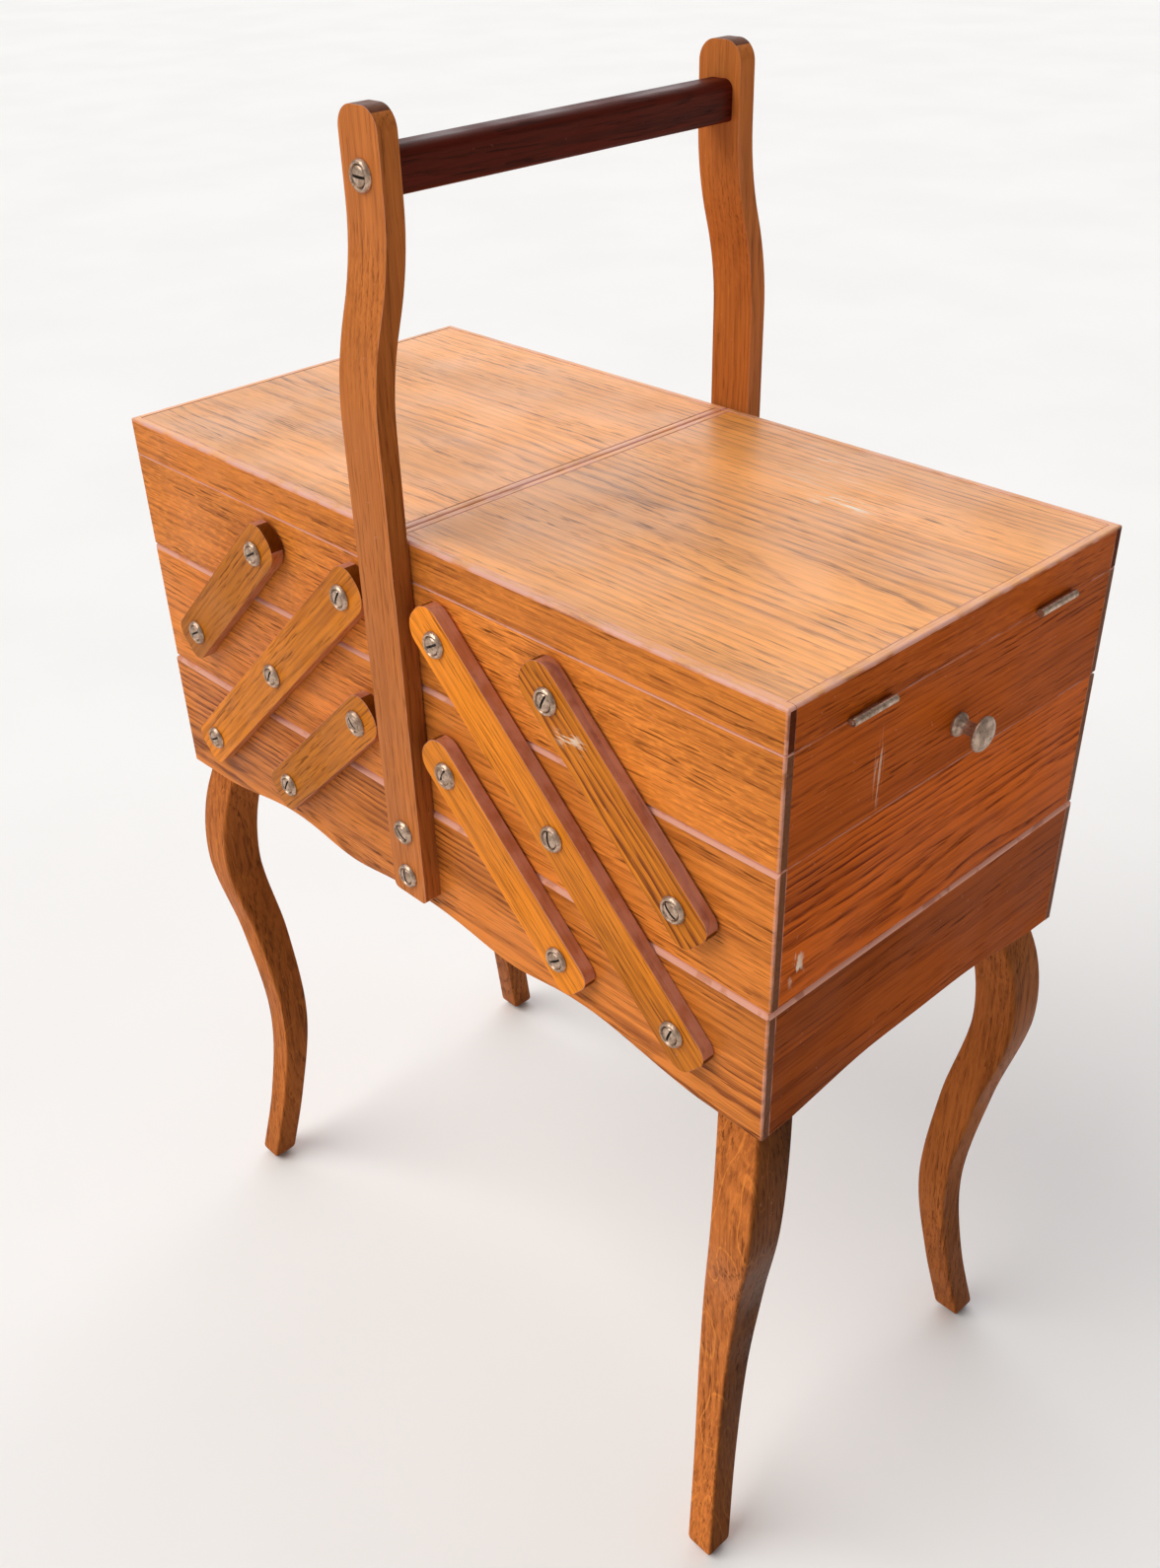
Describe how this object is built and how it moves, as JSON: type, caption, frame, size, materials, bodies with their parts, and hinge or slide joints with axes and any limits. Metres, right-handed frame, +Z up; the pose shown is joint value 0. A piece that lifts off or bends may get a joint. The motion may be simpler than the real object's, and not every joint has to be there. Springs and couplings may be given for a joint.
{
  "type": "cantilever sewing box",
  "caption": "Wooden sewing box on curved legs, with a carrying handle, hinged lids and stacked trays that fold out to both sides on parallel arms.",
  "frame": {"origin": "on the floor, at the middle of the box's length and width, between the four feet", "axes": "+X along the box to the right, +Y across it from the front to the back, +Z up"},
  "size_m": [0.458, 0.2354, 0.672],
  "materials": {
    "oak_fronts": "golden brown varnished oak, grain along the board",
    "oak_ends": "red-brown varnished oak, grain along the board",
    "oak_lids": "light orange varnished oak with a soft sheen",
    "oak_arms": "golden varnished oak with worn arrises",
    "oak_handle": "orange-brown varnished oak",
    "oak_legs": "brown varnished oak with ray fleck",
    "dark_grip": "dark mahogany, polished by the hand",
    "tray_bottoms": "plain unvarnished plywood",
    "aged_nickel": "aged nickel, slightly yellowed",
    "dark_pewter": "dark worn pewter"
  },
  "bodies": {
    "root": {"base_front_panel": "oak_fronts", "base_back_panel": "oak_fronts", "base_left_end": "oak_ends", "base_right_end": "oak_ends", "base_floor": "tray_bottoms", "leg_front_left": "oak_legs", "leg_front_right": "oak_legs", "leg_back_left": "oak_legs", "leg_back_right": "oak_legs", "leg_screws": "aged_nickel", "handle_upright_front": "oak_handle", "handle_upright_back": "oak_handle", "handle_crossbar": "dark_grip", "base_screws": "aged_nickel"},
    "left_long_arms": {"left_long_arm_front": "oak_arms", "left_long_arm_back": "oak_arms"},
    "left_inner_arms": {"left_inner_arm_front": "oak_arms", "left_inner_arm_back": "oak_arms"},
    "left_outer_arms": {"left_outer_arm_front": "oak_arms", "left_outer_arm_back": "oak_arms"},
    "left_mid_tray": {"left_mid_tray_front": "oak_fronts", "left_mid_tray_back": "oak_fronts", "left_mid_tray_inner_end": "oak_ends", "left_mid_tray_outer_end": "oak_ends", "left_mid_tray_floor": "tray_bottoms", "left_mid_tray_screws": "aged_nickel"},
    "left_top_tray": {"left_top_tray_front": "oak_fronts", "left_top_tray_back": "oak_fronts", "left_top_tray_inner_end": "oak_ends", "left_top_tray_outer_end": "oak_ends", "left_top_tray_floor": "tray_bottoms", "left_top_tray_screws": "aged_nickel", "left_knob": "dark_pewter", "left_tray_hinge_leaves": "aged_nickel"},
    "left_lid": {"left_lid_panel": "oak_lids", "left_lid_rim": "oak_fronts", "left_lid_hinge_leaves": "aged_nickel"},
    "right_long_arms": {"right_long_arm_front": "oak_arms", "right_long_arm_back": "oak_arms"},
    "right_inner_arms": {"right_inner_arm_front": "oak_arms", "right_inner_arm_back": "oak_arms"},
    "right_outer_arms": {"right_outer_arm_front": "oak_arms", "right_outer_arm_back": "oak_arms"},
    "right_mid_tray": {"right_mid_tray_front": "oak_fronts", "right_mid_tray_back": "oak_fronts", "right_mid_tray_inner_end": "oak_ends", "right_mid_tray_outer_end": "oak_ends", "right_mid_tray_floor": "tray_bottoms", "right_mid_tray_screws": "aged_nickel"},
    "right_top_tray": {"right_top_tray_front": "oak_fronts", "right_top_tray_back": "oak_fronts", "right_top_tray_inner_end": "oak_ends", "right_top_tray_outer_end": "oak_ends", "right_top_tray_floor": "tray_bottoms", "right_top_tray_screws": "aged_nickel", "right_knob": "dark_pewter", "right_tray_hinge_leaves": "aged_nickel"},
    "right_lid": {"right_lid_panel": "oak_lids", "right_lid_rim": "oak_fronts", "right_lid_hinge_leaves": "aged_nickel"}
  },
  "joints": [
    {"name": "left_cantilever", "type": "hinge", "parent": "root", "child": "left_long_arms", "pos_m": [-0.171, 0, 0.342], "axis": [0, -1, 0], "range_deg": [0, 93.86]},
    {"name": "left_mid_tray_level", "type": "hinge", "parent": "left_long_arms", "child": "left_mid_tray", "pos_m": [-0.102, 0, 0.4065], "axis": [0, -1, 0], "range_deg": [-93.86, 0]},
    {"name": "left_top_tray_level", "type": "hinge", "parent": "left_long_arms", "child": "left_top_tray", "pos_m": [-0.033, 0, 0.471], "axis": [0, -1, 0], "range_deg": [-93.86, 0]},
    {"name": "left_inner_arm_swing", "type": "hinge", "parent": "root", "child": "left_inner_arms", "pos_m": [-0.102, 0, 0.342], "axis": [0, -1, 0], "range_deg": [0, 93.86]},
    {"name": "left_outer_arm_swing", "type": "hinge", "parent": "left_mid_tray", "child": "left_outer_arms", "pos_m": [-0.171, 0, 0.4065], "axis": [0, -1, 0], "range_deg": [0, 93.86]},
    {"name": "left_lid_hinge", "type": "hinge", "parent": "left_top_tray", "child": "left_lid", "pos_m": [-0.2168, 0, 0.49015], "axis": [0, -1, 0], "range_deg": [0, 180]},
    {"name": "right_cantilever", "type": "hinge", "parent": "root", "child": "right_long_arms", "pos_m": [0.171, 0, 0.342], "axis": [0, 1, 0], "range_deg": [0, 93.86]},
    {"name": "right_mid_tray_level", "type": "hinge", "parent": "right_long_arms", "child": "right_mid_tray", "pos_m": [0.102, 0, 0.4065], "axis": [0, 1, 0], "range_deg": [-93.86, 0]},
    {"name": "right_top_tray_level", "type": "hinge", "parent": "right_long_arms", "child": "right_top_tray", "pos_m": [0.033, 0, 0.471], "axis": [0, 1, 0], "range_deg": [-93.86, 0]},
    {"name": "right_inner_arm_swing", "type": "hinge", "parent": "root", "child": "right_inner_arms", "pos_m": [0.102, 0, 0.342], "axis": [0, 1, 0], "range_deg": [0, 93.86]},
    {"name": "right_outer_arm_swing", "type": "hinge", "parent": "right_mid_tray", "child": "right_outer_arms", "pos_m": [0.171, 0, 0.4065], "axis": [0, 1, 0], "range_deg": [0, 93.86]},
    {"name": "right_lid_hinge", "type": "hinge", "parent": "right_top_tray", "child": "right_lid", "pos_m": [0.2168, 0, 0.49015], "axis": [0, 1, 0], "range_deg": [0, 180]}
  ],
  "couplings": [
    {"joint": "left_mid_tray_level", "follows": "left_cantilever", "ratio": -1},
    {"joint": "left_top_tray_level", "follows": "left_cantilever", "ratio": -1},
    {"joint": "left_inner_arm_swing", "follows": "left_cantilever", "ratio": 1},
    {"joint": "left_outer_arm_swing", "follows": "left_cantilever", "ratio": 1},
    {"joint": "right_mid_tray_level", "follows": "right_cantilever", "ratio": -1},
    {"joint": "right_top_tray_level", "follows": "right_cantilever", "ratio": -1},
    {"joint": "right_inner_arm_swing", "follows": "right_cantilever", "ratio": 1},
    {"joint": "right_outer_arm_swing", "follows": "right_cantilever", "ratio": 1}
  ]
}
